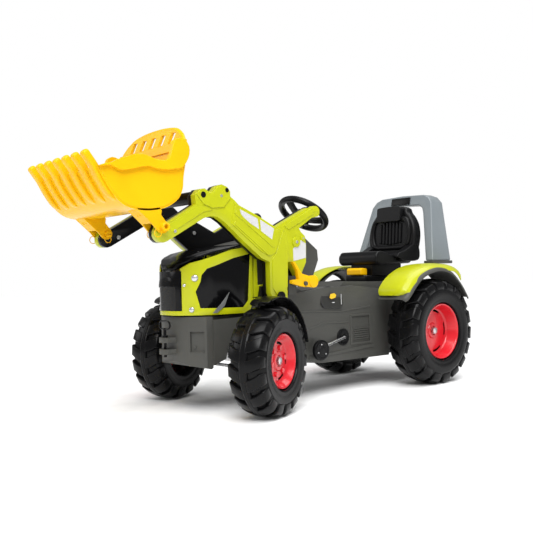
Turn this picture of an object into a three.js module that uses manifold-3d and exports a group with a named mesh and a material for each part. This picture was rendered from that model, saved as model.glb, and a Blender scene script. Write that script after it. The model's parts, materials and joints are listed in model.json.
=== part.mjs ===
// Ride-on pedal tractor for a child, with a front loader: a hollow moulded chassis on four lugged
// wheels, chain drive, linked front steering, an opening bonnet, and a loader whose two arms turn
// on consoles beside the bonnet and carry a toothed bucket.
//
// Millimetres. +X is the tractor's left, -Y is forward, +Z is up. Outlines are written with Y
// measured back from the front axle; the whole model is then moved so that the origin lies on the
// ground under the middle of the machine.

import * as THREE from 'three';
import { mergeVertices } from 'three/addons/utils/BufferGeometryUtils.js';
import Module from 'manifold-3d';

const wasm = await Module();
wasm.setup();

// ---- driving dimensions -------------------------------------------------------------------------
const FRONT_AXLE_Y = -242;       // front axle, from the middle of the machine
const WHEELBASE = 746;
const GAP = 0.4;                 // between fixed pieces that touch
const RUN = 0.6;                 // round shafts that turn

const FRONT_WHEEL = { radius: 148, half: 52, track: 229, flange: 74, nutFace: 28 };
const REAR_WHEEL = { radius: 175, half: 56, track: 209, flange: 93, nutFace: 13 };
const TYRE_SIDES = 28;

const STEER_REST_DEG = 20.8;     // the wheels stand turned to the left
const KINGPIN_X = 215;
const AXLE_Z = FRONT_WHEEL.radius;
const STEER_ARM = 34;            // kingpin to tie rod end

const CHASSIS_HALF = 115;        // half the width of the moulded chassis
const CHASSIS_WALL = 6;
const CORE_HALF = 97;

const HOOD_HALF = 116;
const HOOD_WALL = 4;

const ARM_INNER_X = 126;         // inner face of a loader arm
const ARM_SEAM_X = 140;          // where inner and outer half shells meet
const ARM_OUTER_X = 160;
const LIFT_PIVOT = [112, 316];   // Y, Z of the pin that the arms turn on
const TILT_PIVOT = [-278, 502];  // Y, Z of the pins that the bucket turns on
const LIFT_PIN_R = 8;
const TILT_PIN_R = 7;

const BUCKET_HALF = 170;
const FINGERS = 7;

const CRANK = [415, 174];        // Y, Z of the crank axle
const CRANK_THROW = 130;
const CHAIN_X = 62;

const WHEEL_CENTRE = [366, 571]; // Y, Z of the middle of the steering wheel's rim
const WHEEL_RADIUS = 88;
const SHAFT_TILT_DEG = 35.7;     // steering shaft, from upright towards the seat

const REAR_AXLE = [WHEELBASE, REAR_WHEEL.radius];

const LEVER_PIVOT = [197, 349];  // Y, Z of the stub that the loader's lock lever turns on
const LEVER_X = [163, 176];
const RAD = Math.PI / 180;

// ---- finishes -----------------------------------------------------------------------------------
const FINISHES = {
  grey: { color: 0x5b5a56, roughness: 0.55, metalness: 0 },
  darkGrey: { color: 0x3e3f40, roughness: 0.6, metalness: 0 },
  black: { color: 0x18191b, roughness: 0.45, metalness: 0 },
  gloss: { color: 0x0d0e10, roughness: 0.15, metalness: 0 },
  lime: { color: 0xc9d322, roughness: 0.35, metalness: 0 },
  yellow: { color: 0xffd21c, roughness: 0.35, metalness: 0 },
  red: { color: 0xdd2233, roughness: 0.35, metalness: 0 },
  tyre: { color: 0x2a2b2c, roughness: 0.8, metalness: 0 },
  silver: { color: 0x9aa2a8, roughness: 0.5, metalness: 0.1 },
  steel: { color: 0xb9bcc0, roughness: 0.3, metalness: 0.9 },
};

// ---- making solids ------------------------------------------------------------------------------
// A closed geometry as a solid, with doubled corners merged and flat triangles dropped.
function solid(geometry) {
  if (!geometry.isBufferGeometry) return geometry;
  const bare = geometry.clone();
  bare.deleteAttribute('normal');
  bare.deleteAttribute('uv');
  const merged = mergeVertices(bare, 1e-3);
  const corners = merged.index.array;
  const at = merged.attributes.position.array;
  const kept = [];
  let volume = 0;
  for (let i = 0; i < corners.length; i += 3) {
    const [a, b, c] = [corners[i], corners[i + 1], corners[i + 2]];
    if (a === b || b === c || c === a) continue;
    kept.push(a, b, c);
    const [p, q, r] = [a, b, c].map((n) => new THREE.Vector3().fromArray(at, 3 * n));
    volume += p.dot(q.cross(r));
  }
  if (volume < 0) kept.reverse();
  return new wasm.Manifold(new wasm.Mesh({
    numProp: 3, vertProperties: Float32Array.from(at), triVerts: Uint32Array.from(kept),
  }));
}

function join(...shapes) {
  return shapes.map(solid).reduce((whole, shape) => whole.add(shape));
}

function cut(base, ...tools) {
  return tools.map(solid).reduce((whole, tool) => whole.subtract(tool), solid(base));
}

function common(a, b) {
  return solid(a).intersect(solid(b));
}

function toGeometry(shape) {
  const mesh = solid(shape).getMesh();
  const geometry = new THREE.BufferGeometry();
  const positions = new Float32Array(mesh.vertProperties);
  geometry.setAttribute('position', new THREE.BufferAttribute(positions, 3));
  geometry.setIndex(new THREE.BufferAttribute(new Uint32Array(mesh.triVerts), 1));
  geometry.computeVertexNormals();
  return geometry;
}

// The same solid on the other side of the machine.
function mirrored(shape) {
  const geometry = toGeometry(shape);
  geometry.applyMatrix4(new THREE.Matrix4().makeScale(-1, 1, 1));
  return solid(geometry);
}

function block(x, y, z) {
  const geometry = new THREE.BoxGeometry(x[1] - x[0], y[1] - y[0], z[1] - z[0]);
  return geometry.translate((x[0] + x[1]) / 2, (y[0] + y[1]) / 2, (z[0] + z[1]) / 2);
}

// A flat shape whose outline runs anticlockwise and whose holes run clockwise.
function shapeOf(outline, holes = []) {
  const wound = (points, clockwise) => {
    const corners = points.map(([a, b]) => new THREE.Vector2(a, b));
    return THREE.ShapeUtils.isClockWise(corners) === clockwise ? corners : corners.reverse();
  };
  const shape = new THREE.Shape(wound(outline, false));
  shape.holes = holes.map((hole) => new THREE.Path(wound(hole, true)));
  return shape;
}

// An outline in Y and Z, extruded across the machine from x0 to x1.
function sidePlate(outline, x0, x1, holes = []) {
  const plate = new THREE.ExtrudeGeometry(shapeOf(outline, holes), { depth: x1 - x0, bevelEnabled: false });
  const turn = new THREE.Matrix4().makeBasis(
    new THREE.Vector3(0, 1, 0), new THREE.Vector3(0, 0, 1), new THREE.Vector3(1, 0, 0));
  return plate.applyMatrix4(turn).translate(x0, 0, 0);
}

// An outline in X and Y, extruded upwards from z0 to z1.
function planPlate(outline, z0, z1, holes = []) {
  const plate = new THREE.ExtrudeGeometry(shapeOf(outline, holes), { depth: z1 - z0, bevelEnabled: false });
  return plate.translate(0, 0, z0);
}

// An outline in X and Z, extruded from y0 back to y1.
function frontPlate(outline, y0, y1, holes = []) {
  const plate = new THREE.ExtrudeGeometry(shapeOf(outline, holes), { depth: y1 - y0, bevelEnabled: false });
  return plate.rotateX(Math.PI / 2).translate(0, y1, 0);
}

// A rod along X, centred on (y, z).
function rodX(radius, x0, x1, [y, z], sides = 20) {
  const rod = new THREE.CylinderGeometry(radius, radius, x1 - x0, sides);
  return rod.rotateZ(-Math.PI / 2).translate((x0 + x1) / 2, y, z);
}

function rodZ(radius, z0, z1, [x, y], sides = 20) {
  const rod = new THREE.CylinderGeometry(radius, radius, z1 - z0, sides);
  return rod.rotateX(Math.PI / 2).translate(x, y, (z0 + z1) / 2);
}

function rodBetween(radius, from, to, sides = 16) {
  const [a, b] = [new THREE.Vector3(...from), new THREE.Vector3(...to)];
  const rod = new THREE.CylinderGeometry(radius, radius, a.distanceTo(b), sides);
  const lean = new THREE.Quaternion().setFromUnitVectors(
    new THREE.Vector3(0, 1, 0), b.clone().sub(a).normalize());
  rod.applyQuaternion(lean);
  return rod.translate((a.x + b.x) / 2, (a.y + b.y) / 2, (a.z + b.z) / 2);
}

// A closed profile of [x, radius] points, turned about the X axis.
function turned(profile, sides, phase = 0) {
  const points = profile.map(([x, radius]) => new THREE.Vector2(radius, x));
  points.push(points[0].clone());
  return new THREE.LatheGeometry(points, sides, phase).rotateZ(-Math.PI / 2);
}

// Points on an arc about (y, z); angles in degrees from straight back (+Y) up towards +Z.
function arc([y, z], radius, fromDeg, toDeg, steps) {
  const points = [];
  for (let i = 0; i <= steps; i++) {
    const angle = (fromDeg + ((toDeg - fromDeg) * i) / steps) * RAD;
    points.push([y + radius * Math.cos(angle), z + radius * Math.sin(angle)]);
  }
  return points;
}

// A strip of even thickness under a line of [y, z] points that runs rearwards.
function strip(line, thickness) {
  const under = line.map(([y, z], i) => {
    const [y0, z0] = line[Math.max(i - 1, 0)];
    const [y1, z1] = line[Math.min(i + 1, line.length - 1)];
    const length = Math.hypot(y1 - y0, z1 - z0);
    return [y + ((z1 - z0) / length) * thickness, z - ((y1 - y0) / length) * thickness];
  });
  return [...line, ...under.reverse()];
}

const tractor = new THREE.Group();
tractor.position.y = FRONT_AXLE_Y;

function add(name, shape, finish, group = tractor) {
  const mesh = new THREE.Mesh(toGeometry(shape), new THREE.MeshStandardMaterial(FINISHES[finish]));
  mesh.name = name;
  group.add(mesh);
}

function addPair(name, shape, finish) {
  add(`${name}_left`, shape, finish);
  add(`${name}_right`, mirrored(shape), finish);
}

// ---- chassis: one hollow moulding from the front axle to the hitch ------------------------------
const CHASSIS_BOTTOM = [[-92, 136], [-52, 150], [-40, 192], [100, 190], [165, 118], [320, 101], [640, 97], [700, 104], [925, 140]];
const CORE_TOP = [[925, 300], [880, 343], [600, 345], [445, 350], [425, 333], [335, 333], [254, 326],
  [200, 352], [60, 352], [40, 268], [-92, 266]];
const SIDE_TOP = [[640, 270], [600, 322], [470, 336], [425, 333], [335, 333], [254, 322], [130, 318],
  [60, 300], [30, 262], [-92, 258]];

function inset(outline, distance) {
  const points = outline.map(([a, b]) => new THREE.Vector2(a, b));
  const turnsLeft = THREE.ShapeUtils.area(points) > 0 ? 1 : -1;
  return points.map((here, i) => {
    const before = here.clone().sub(points[(i + points.length - 1) % points.length]).normalize();
    const after = points[(i + 1) % points.length].clone().sub(here).normalize();
    const [n0, n1] = [before, after].map((d) => new THREE.Vector2(-d.y, d.x).multiplyScalar(turnsLeft));
    const bisector = n0.clone().add(n1).normalize();
    const reach = distance / Math.max(bisector.dot(n0), 0.4);
    return [here.x + bisector.x * reach, here.y + bisector.y * reach];
  });
}

const coreOutline = [...CHASSIS_BOTTOM, ...CORE_TOP];
const sideOutline = [...CHASSIS_BOTTOM.slice(0, 7), ...SIDE_TOP];
const shaftFoot = [WHEEL_CENTRE[0] - 430 * Math.sin(SHAFT_TILT_DEG * RAD),
  WHEEL_CENTRE[1] - 430 * Math.cos(SHAFT_TILT_DEG * RAD)];
const shaftTunnel = (radius) => rodBetween(radius, [0, ...shaftFoot], [0, ...WHEEL_CENTRE], 20);

function chassis() {
  const outside = join(
    sidePlate(coreOutline, -CORE_HALF, CORE_HALF),
    sidePlate(sideOutline, -CHASSIS_HALF, CHASSIS_HALF));
  const hollow = join(
    sidePlate(inset(coreOutline, CHASSIS_WALL), CHASSIS_WALL - CORE_HALF, CORE_HALF - CHASSIS_WALL),
    sidePlate(inset(sideOutline, CHASSIS_WALL), CHASSIS_WALL - CHASSIS_HALF, CHASSIS_HALF - CHASSIS_WALL));
  const chainDoor = block([-45, 45], [500, 620], [85, 115]);
  const recess = join(
    block([CHASSIS_HALF - 3, CHASSIS_HALF + 5], [455, 545], [150, 238]),
    block([-CHASSIS_HALF - 5, 3 - CHASSIS_HALF], [455, 545], [150, 238]));
  const leverLug = join(block([100, 122], [180, 212], [316, 358]), rodX(6, 120, LEVER_X[1] + 5, LEVER_PIVOT));
  return cut(join(cut(outside, hollow), leverLug), chainDoor, recess, shaftTunnel(13),
    rodX(9, -130, 130, CRANK), rodX(9, -130, 130, REAR_AXLE));
}
add('chassis', chassis(), 'grey');

// ---- front weight with its coupling jaw and pin -------------------------------------------------
const NOSE = [[-112, -93], [-110, -112], [-66, -142], [-30, -154], [30, -154], [66, -142], [110, -112],
  [112, -93]];
const JAW_Y = -174;

function frontWeight() {
  const side = [[-190, 268], [-190, 172], [-160, 150], [-136, 134], [-100, 126], [-92 - GAP, 130],
    [-92 - GAP, 268]];
  const body = common(planPlate(NOSE, 100, 300), sidePlate(side, -120, 120));
  const prong = (z0, z1) => planPlate(
    [[-26, -148], [-22, -179], [-9, -187], [9, -187], [22, -179], [26, -148]], z0, z1);
  return cut(join(body, prong(166, 180), prong(198, 212)), rodZ(5.2, 150, 230, [0, JAW_Y]));
}
add('front_weight', frontWeight(), 'grey');

function couplingPin() {
  const path = new THREE.CatmullRomCurve3([[-18, 236], [18, 236], [26, 246], [18, 256], [-18, 256],
    [-26, 246]].map(([x, z]) => new THREE.Vector3(x, JAW_Y, z)), true, 'catmullrom', 0.4);
  const ring = new THREE.Shape(new THREE.EllipseCurve(0, 0, 2.6, 2.6).getPoints(6).slice(0, 6));
  const loop = new THREE.ExtrudeGeometry(ring, { steps: 20, extrudePath: path });
  return join(rodZ(4.4, 158, 238, [0, JAW_Y], 14), rodZ(8, 212.5, 218, [0, JAW_Y], 14), loop);
}
add('coupling_pin', couplingPin(), 'black');

// ---- bonnet: side frame, black top, grille and side panels, all thin shells ---------------------
const BONNET_PLAN = [[-HOOD_HALF, 48], [-HOOD_HALF, -35], [-110, -80], [-95, -115], [-73, -139],
  [-49, -156], [-24, -165], [24, -165], [49, -156], [73, -139], [95, -115], [110, -80], [HOOD_HALF, -35],
  [HOOD_HALF, 48]];
const TOP_LINE = [[-162, 398], [-154, 412], [-130, 428], [-80, 445], [0, 461], [48, 468]];
const SIDE_LINE = [[-136, 414], [-27, 449], [48, 459]];
const PANEL = [[-114, 381], [-100, 398], [-20, 426], [40, 438], [30, 307], [12, 288], [-118, 291],
  [-127, 336], [-117, 362]];

function bonnetBand(z0, z1) {
  const inner = inset(BONNET_PLAN, HOOD_WALL).map(([x, y]) => [x, Math.min(y, 47)]);
  inner[0][1] = 60;
  inner[inner.length - 1][1] = 60;
  return cut(planPlate(BONNET_PLAN, z0, z1), planPlate(inner, z0 - 1, z1 + 1));
}

function bonnetFrame() {
  const outline = [[-152, 272], [-152, 400], ...SIDE_LINE, [48, 300], [32, 272]];
  const lowBar = sidePlate([[-180, 272], [-180, 284], [-151, 284], [-151, 272]], -130, 130);
  const band = bonnetBand(272, 480);
  const frame = join(common(band, sidePlate(outline, -130, 130, [PANEL])), common(band, lowBar));
  const rearBar = block([-HOOD_HALF + 2, HOOD_HALF - 2], [42, 47], [440, 457]);
  return join(frame, rearBar);
}
add('bonnet_frame', bonnetFrame(), 'lime');

function bonnetTop() {
  const lid = sidePlate(strip(TOP_LINE, HOOD_WALL), -130, 130);
  const clear = planPlate(inset(BONNET_PLAN, HOOD_WALL + GAP).map(([x, y]) => [x, Math.max(y, -162)]),
    380, 500);
  return cut(common(lid, clear), block([-130, 130], [41, 60], [430, 458]));
}
add('bonnet_top', bonnetTop(), 'black');

function grille() {
  const band = bonnetBand(284 + GAP, 392);
  return common(band, block([-130, 130], [-175, -152 - GAP], [280, 400]));
}
add('grille', grille(), 'darkGrey');

function bonnetPanel() {
  const outline = inset(PANEL, GAP);
  return common(bonnetBand(272, 480), sidePlate(outline, 60, 130));
}
addPair('bonnet_panel', bonnetPanel(), 'gloss');

// ---- dash cowl, steering wheel and shaft --------------------------------------------------------
function dashCowl() {
  const outline = [[62, 353], [56, 466], [100, 476], [200, 496], [274, 489], [329, 450], [332, 419],
    [308, 369], [290, 353]];
  const hollow = [[68, 340], [62, 460], [100, 470], [200, 490], [270, 483], [323, 448], [326, 420],
    [303, 371], [288, 340]];
  const shell = cut(sidePlate(outline, -96, 96), sidePlate(hollow, -90, 90),
    block([-97, 97], [40, 340], [330, 353 + GAP]));
  return cut(shell, shaftTunnel(13));
}
add('dash_cowl', dashCowl(), 'darkGrey');

const steering = new THREE.Group();
steering.position.set(0, ...WHEEL_CENTRE);
steering.rotation.x = -SHAFT_TILT_DEG * RAD;
tractor.add(steering);

function steeringWheel() {
  const rim = new THREE.TorusGeometry(WHEEL_RADIUS - 9, 9, 8, 28);
  const hub = rodZ(26, -24, -6, [0, 0], 24);
  const spoke = (deg) => {
    const [c, s] = [Math.cos(deg * RAD), Math.sin(deg * RAD)];
    return rodBetween(9, [18 * c, 18 * s, -14], [(WHEEL_RADIUS - 9) * c, (WHEEL_RADIUS - 9) * s, 0], 8);
  };
  return join(rim, hub, spoke(90), spoke(210), spoke(330));
}
add('steering_wheel', steeringWheel(), 'black', steering);
add('steering_shaft', rodZ(9, -430, -24 - GAP, [0, 0]), 'steel', steering);

// ---- front axle, knuckles, tie rod and front wheels ---------------------------------------------
function frontAxle() {
  const beam = block([-KINGPIN_X, KINGPIN_X], [-11, 11], [AXLE_Z - 11, AXLE_Z + 11]);
  const boss = (x) => rodZ(12, AXLE_Z - 20, AXLE_Z + 20, [x, 0]);
  const bore = (x) => rodZ(6 + RUN, AXLE_Z - 30, AXLE_Z + 30, [x, 0]);
  const mount = block([-60, 60], [-26, 26], [AXLE_Z + 9, 192 - 2]);
  return cut(join(beam, mount, boss(-KINGPIN_X), boss(KINGPIN_X)), bore(-KINGPIN_X), bore(KINGPIN_X));
}
add('front_axle', frontAxle(), 'steel');

// The left knuckle about its own kingpin, wheels straight ahead, with x outwards.
const WHEEL_OFFSET = FRONT_WHEEL.track - KINGPIN_X;

function knuckle() {
  const plate = (z0, z1) => block([-13, 19], [-13, 13], [z0, z1]);
  const wall = block([13.5, 19], [-13, 13], [AXLE_Z - 27, AXLE_Z + 27]);
  const pin = rodZ(6, AXLE_Z - 25, AXLE_Z + 25, [0, 0]);
  const nutFace = WHEEL_OFFSET + FRONT_WHEEL.nutFace;
  const stub = rodX(7, 18, nutFace + 5, [0, AXLE_Z]);
  const nut = rodX(11, nutFace + GAP, nutFace + 6, [0, AXLE_Z], 6);
  const arm = join(block([-7, 7], [10, STEER_ARM + 9], [AXLE_Z - 27, AXLE_Z - 21]));
  const eye = rodZ(4 + RUN, AXLE_Z - 40, AXLE_Z - 15, [0, STEER_ARM]);
  return cut(join(plate(AXLE_Z + 21, AXLE_Z + 27), plate(AXLE_Z - 27, AXLE_Z - 21), wall, pin, stub, nut, arm),
    eye);
}

function tyre({ radius, half, flange }) {
  const r = radius / Math.cos(Math.PI / TYRE_SIDES);
  const seat = flange + 1.5;
  const side = [[half - 8, seat], [half - 2, seat + 12], [half, r * 0.78], [half - 4, r * 0.92],
    [half - 14, r * 0.985], [half - 24, r]];
  const profile = [...side, ...side.map(([x, q]) => [-x, q]).reverse()];
  return turned(profile, TYRE_SIDES, Math.PI / TYRE_SIDES);
}

function rim({ half, flange, nutFace }) {
  const edge = half - 8;
  const hub = nutFace - 8;
  const profile = [[edge, flange], [edge, flange - 8], [edge - 6, flange - 10], [hub + 6, flange * 0.6],
    [hub + 4, 22], [nutFace, 18], [nutFace, 8], [hub - 12, 8], [hub - 12, 20], [hub, flange * 0.58],
    [edge - 14, flange - 14], [-edge, flange - 9], [-edge, flange]];
  return turned(profile, 24);
}

function frontFender() {
  const outer = arc([0, AXLE_Z], 171, 12, 114, 12);
  const inner = arc([0, AXLE_Z], 168, 114, 12, 12);
  const guard = sidePlate([...outer, ...inner], WHEEL_OFFSET - 38, WHEEL_OFFSET + 40);
  const stay = join(
    block([WHEEL_OFFSET - 58, WHEEL_OFFSET - 55], [-13, 13], [AXLE_Z + 27 + GAP, AXLE_Z + 170]),
    block([WHEEL_OFFSET - 58, -14], [-13, 13], [AXLE_Z + 27 + GAP, AXLE_Z + 31]),
    block([WHEEL_OFFSET - 58, WHEEL_OFFSET - 36], [-13, 13], [AXLE_Z + 167.5, AXLE_Z + 170]));
  return join(guard, stay);
}

for (const [side, sign] of [['left', 1], ['right', -1]]) {
  const turn = new THREE.Group();
  turn.position.set(sign * KINGPIN_X, 0, 0);
  turn.rotation.z = STEER_REST_DEG * RAD;
  tractor.add(turn);
  const handed = (shape) => (sign > 0 ? solid(shape) : mirrored(shape));
  const out = new THREE.Matrix4().makeTranslation(WHEEL_OFFSET, 0, AXLE_Z);
  add(`knuckle_${side}`, handed(knuckle()), 'steel', turn);
  add(`front_fender_${side}`, handed(frontFender()), 'black', turn);
  add(`front_tyre_${side}`, handed(tyre(FRONT_WHEEL).applyMatrix4(out)), 'tyre', turn);
  add(`front_rim_${side}`, handed(rim(FRONT_WHEEL).applyMatrix4(out)), 'red', turn);
}

// The rod joins the ends of the two steering arms and stays square to the machine as they turn.
function tieRod() {
  const [dx, dy] = [-STEER_ARM * Math.sin(STEER_REST_DEG * RAD), STEER_ARM * Math.cos(STEER_REST_DEG * RAD)];
  const z = AXLE_Z - 33;
  const rod = rodBetween(5, [dx - KINGPIN_X, dy, z], [dx + KINGPIN_X, dy, z]);
  const stud = (x) => join(rodZ(4, z - 5, z + 13, [x, dy], 12), rodZ(7, z - 5, z + 5, [x, dy], 12));
  return join(rod, stud(dx + KINGPIN_X), stud(dx - KINGPIN_X));
}
add('tie_rod', tieRod(), 'steel');

// ---- rear wheels, axle and chain drive ----------------------------------------------------------
for (const [side, sign] of [['left', 1], ['right', -1]]) {
  const handed = (shape) => (sign > 0 ? solid(shape) : mirrored(shape));
  const out = new THREE.Matrix4().makeTranslation(REAR_WHEEL.track, ...REAR_AXLE);
  add(`rear_tyre_${side}`, handed(tyre(REAR_WHEEL).applyMatrix4(out)), 'tyre');
  add(`rear_rim_${side}`, handed(rim(REAR_WHEEL).applyMatrix4(out)), 'red');
}

function rearAxle() {
  const nutFace = REAR_WHEEL.track + REAR_WHEEL.nutFace;
  const nut = rodX(12, nutFace + GAP, nutFace + 7, REAR_AXLE, 6);
  return join(rodX(7.4, -nutFace - 6, nutFace + 6, REAR_AXLE), nut, mirrored(nut));
}
add('rear_axle', rearAxle(), 'steel');

const CHAINWHEEL_R = 46;
const SPROCKET_R = 32;

function chainDisc(radius, centre, bore) {
  return cut(rodX(radius, CHAIN_X - 2, CHAIN_X + 2, centre, 30), rodX(bore, 0, 120, centre));
}
add('chainwheel', chainDisc(CHAINWHEEL_R, CRANK, 7 + GAP), 'steel');
add('rear_sprocket', chainDisc(SPROCKET_R, REAR_AXLE, 7.4 + GAP), 'steel');

function driveChain() {
  const loop = (extra) => [
    ...arc(CRANK, CHAINWHEEL_R + extra, 88, 272, 18),
    ...arc(REAR_AXLE, SPROCKET_R + extra, -88, 88, 14),
  ];
  return sidePlate(loop(7), CHAIN_X - 4, CHAIN_X + 4, [loop(1)]);
}
add('drive_chain', driveChain(), 'steel');

// Crank angle at rest: the left pedal is forward and a little low.
const CRANK_REST_DEG = 193;
const crankEnd = (side) => [CRANK[0] + side * CRANK_THROW * Math.cos(CRANK_REST_DEG * RAD),
  CRANK[1] + side * CRANK_THROW * Math.sin(CRANK_REST_DEG * RAD)];
const CRANK_ARM_X = 126;
const PEDAL_X = [134, 150];

function crankset() {
  const half = (side) => {
    const x = side * CRANK_ARM_X;
    const [y, z] = crankEnd(side);
    const spindle = rodBetween(5, [x, y, z], [side * (PEDAL_X[1] - 1), y, z], 12);
    const head = rodBetween(9, [side * (PEDAL_X[1] - 4), y, z], [side * (PEDAL_X[1] - 1), y, z], 12);
    const elbow = (yy, zz) => new THREE.SphereGeometry(6, 12, 6).translate(x, yy, zz);
    return join(rodBetween(5.5, [x, ...CRANK], [x, y, z], 12), spindle, head, elbow(...CRANK), elbow(y, z));
  };
  return join(rodX(7, -CRANK_ARM_X, CRANK_ARM_X, CRANK), half(1), half(-1));
}
add('crankset', crankset(), 'steel');

for (const [name, side] of [['left', 1], ['right', -1]]) {
  const [x0, x1] = side > 0 ? PEDAL_X : PEDAL_X.map((x) => -x).reverse();
  const tread = rodX(32, x0, x1, crankEnd(side), 24);
  const well = rodX(10, side > 0 ? x1 - 5 : x0 - 1, side > 0 ? x1 + 1 : x0 + 5, crankEnd(side), 16);
  add(`pedal_${name}`, cut(tread, rodX(5 + RUN, x0 - 1, x1 + 1, crankEnd(side), 14), well), 'black');
}

function crankBearing() {
  return cut(rodX(23, CHASSIS_HALF + GAP, 118.5, CRANK, 24), rodX(7 + RUN, 100, 140, CRANK));
}
addPair('crank_bearing', crankBearing(), 'black');

// ---- rear mudguards, their liners and the roll bar ----------------------------------------------
const GUARD_LINE = [[548, 300], [556, 320], [578, 346], [614, 370], [664, 390], [720, 400], [800, 399],
  [852, 389], [866, 378], [872, 350]];
const LINER_LINE = [[546, 289], [558, 302], [582, 326], [612, 352], [646, 371], [690, 384], [740, 389],
  [790, 380], [828, 360], [868, 325], [900, 285]];
const GUARD_X = [150, 262];

addPair('rear_fender', sidePlate(strip(GUARD_LINE, 4), ...GUARD_X), 'lime');

function fenderLiner() {
  const skin = sidePlate(strip(LINER_LINE, 4), CHASSIS_HALF + GAP, GUARD_X[1] - 2);
  return cut(skin, sidePlate(strip(GUARD_LINE.map(([y, z]) => [y, z + 0.8]), 6.2), 100, 300));
}
addPair('fender_liner', fenderLiner(), 'darkGrey');

const BAR_FOOT_Z = 412;

function rollBar() {
  const outer = [[-178, BAR_FOOT_Z], [-142, 590], [-136, 622], [-120, 642], [-95, 652], [0, 656], [95, 652],
    [120, 642], [136, 622], [142, 590], [178, BAR_FOOT_Z]];
  const inner = [[147, BAR_FOOT_Z], [106, 584], [98, 604], [82, 614], [0, 618], [-82, 614], [-98, 604],
    [-106, 584], [-147, BAR_FOOT_Z]];
  const side = [[812, BAR_FOOT_Z], [920, BAR_FOOT_Z], [938, 620], [932, 660], [880, 660], [872, 630]];
  return common(frontPlate([...outer, ...inner], 780, 960), sidePlate(side, -200, 200));
}
add('roll_bar', rollBar(), 'silver');
addPair('roll_bar_foot', block([143, 182], [808, 924], [401, BAR_FOOT_Z - GAP]), 'darkGrey');
add('roll_bar_plate', sidePlate([[865, 622], [869, 622], [876, 648], [872, 648]], -42, 42), 'black');

// ---- seat on its slide --------------------------------------------------------------------------
add('seat_rail', block([-45, 45], [610, 860], [345 + GAP, 364]), 'black');

function seatPan() {
  const side = [[620, 412], [624, 436], [650, 442], [700, 430], [790, 424], [806, 436], [812, 412]];
  const dish = sidePlate(side, -90, 90);
  const wing = (x0, x1) => sidePlate([[720, 412], [716, 440], [740, 452], [812, 452], [824, 412]], x0, x1);
  const slider = block([-50, 50], [640, 800], [364 + GAP, 414]);
  return join(dish, wing(84, 104), wing(-104, -84), slider);
}
add('seat_pan', seatPan(), 'black');

function seatBack() {
  const side = [[812 + GAP, 454], [826, 600], [836, 612], [866, 612], [870, 596], [858, 454]];
  const front = [[-92, 454], [-100, 500], [-92, 545], [-62, 562], [-60, 600], [-50, 612], [50, 612],
    [60, 600], [62, 562], [92, 545], [100, 500], [92, 454]];
  return common(sidePlate(side, -120, 120), frontPlate(front, 780, 900));
}
add('seat_back', seatBack(), 'black');

function seatRelease() {
  const loop = frontPlate([[-45, 370], [45, 370], [45, 402], [-45, 402]], 604, 634,
    [[[-37, 378], [-37, 394], [37, 394], [37, 378]]]);
  return loop;
}
add('seat_release', seatRelease(), 'yellow');

// ---- rear hitch ---------------------------------------------------------------------------------
function rearHitch() {
  const body = block([-26, 26], [925 + GAP, 968], [150, 204]);
  return cut(body, block([-30, 30], [936, 980], [170, 184]), rodZ(6, 140, 220, [0, 955]));
}
add('rear_hitch', rearHitch(), 'black');

// ---- loader consoles: a plate on each side of the chassis with the pin that the arm turns on ----
function loaderConsole() {
  const plate = sidePlate([[62, 300], [72, 345], [150, 345], [162, 318 + 8], [150, 230], [90, 230]],
    CHASSIS_HALF + GAP, 123);
  const pin = rodX(LIFT_PIN_R, 120, 168, LIFT_PIVOT);
  const head = rodX(13, ARM_OUTER_X + 1.5, 168, LIFT_PIVOT);
  return join(plate, pin, head);
}
addPair('loader_console', loaderConsole(), 'yellow');

// ---- loader arms --------------------------------------------------------------------------------
const ARM_OUTLINE = [
  ...arc([-275, 486], 22, 140, 300, 6),
  [-149, 529], [-126, 535], [-103, 533], [-80, 520], [-17, 470], [46, 424], [76, 413], [76, 326],
  ...arc(LIFT_PIVOT, 30, 180, 340, 8),
  [140, 361], [140, 412], [152, 412], [180, 372], [195, 371], [203, 388], [217, 411], [219, 461],
  [215, 488], [199, 500], [192, 511], [246, 543],
  ...arc([262, 562], 17, -60, 150, 8),
  [226, 571], [133, 527], [101, 511], [32, 543], [-31, 568], [-46, 581], [-60, 590], [-60, 604],
  [-70, 615], [-88, 621], [-106, 615], [-120, 599], [-131, 599], [-144, 607], [-162, 604], [-176, 588],
  [-173, 564], [-221, 537], [-263, 514],
  ...arc(TILT_PIVOT, 16, 60, 120, 3),
];
const CROSS_TUBE = [-150, 586];
const CROSS_TUBE_R = 17;

function armHalf(x0, x1) {
  return cut(sidePlate(ARM_OUTLINE, x0, x1),
    rodX(LIFT_PIN_R + RUN, 100, 180, LIFT_PIVOT), rodX(TILT_PIN_R + RUN, 100, 180, TILT_PIVOT));
}
addPair('arm_shell', armHalf(ARM_SEAM_X + GAP, ARM_OUTER_X), 'lime');
addPair('arm_liner', armHalf(ARM_INNER_X, ARM_SEAM_X), 'black');
add('arm_cross_tube', rodX(CROSS_TUBE_R, GAP - ARM_INNER_X, ARM_INNER_X - GAP, CROSS_TUBE, 20), 'black');

// ---- bucket, its brackets and pins --------------------------------------------------------------
const TIP = [-479, 662];
const HEEL = [-354, 548];

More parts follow.
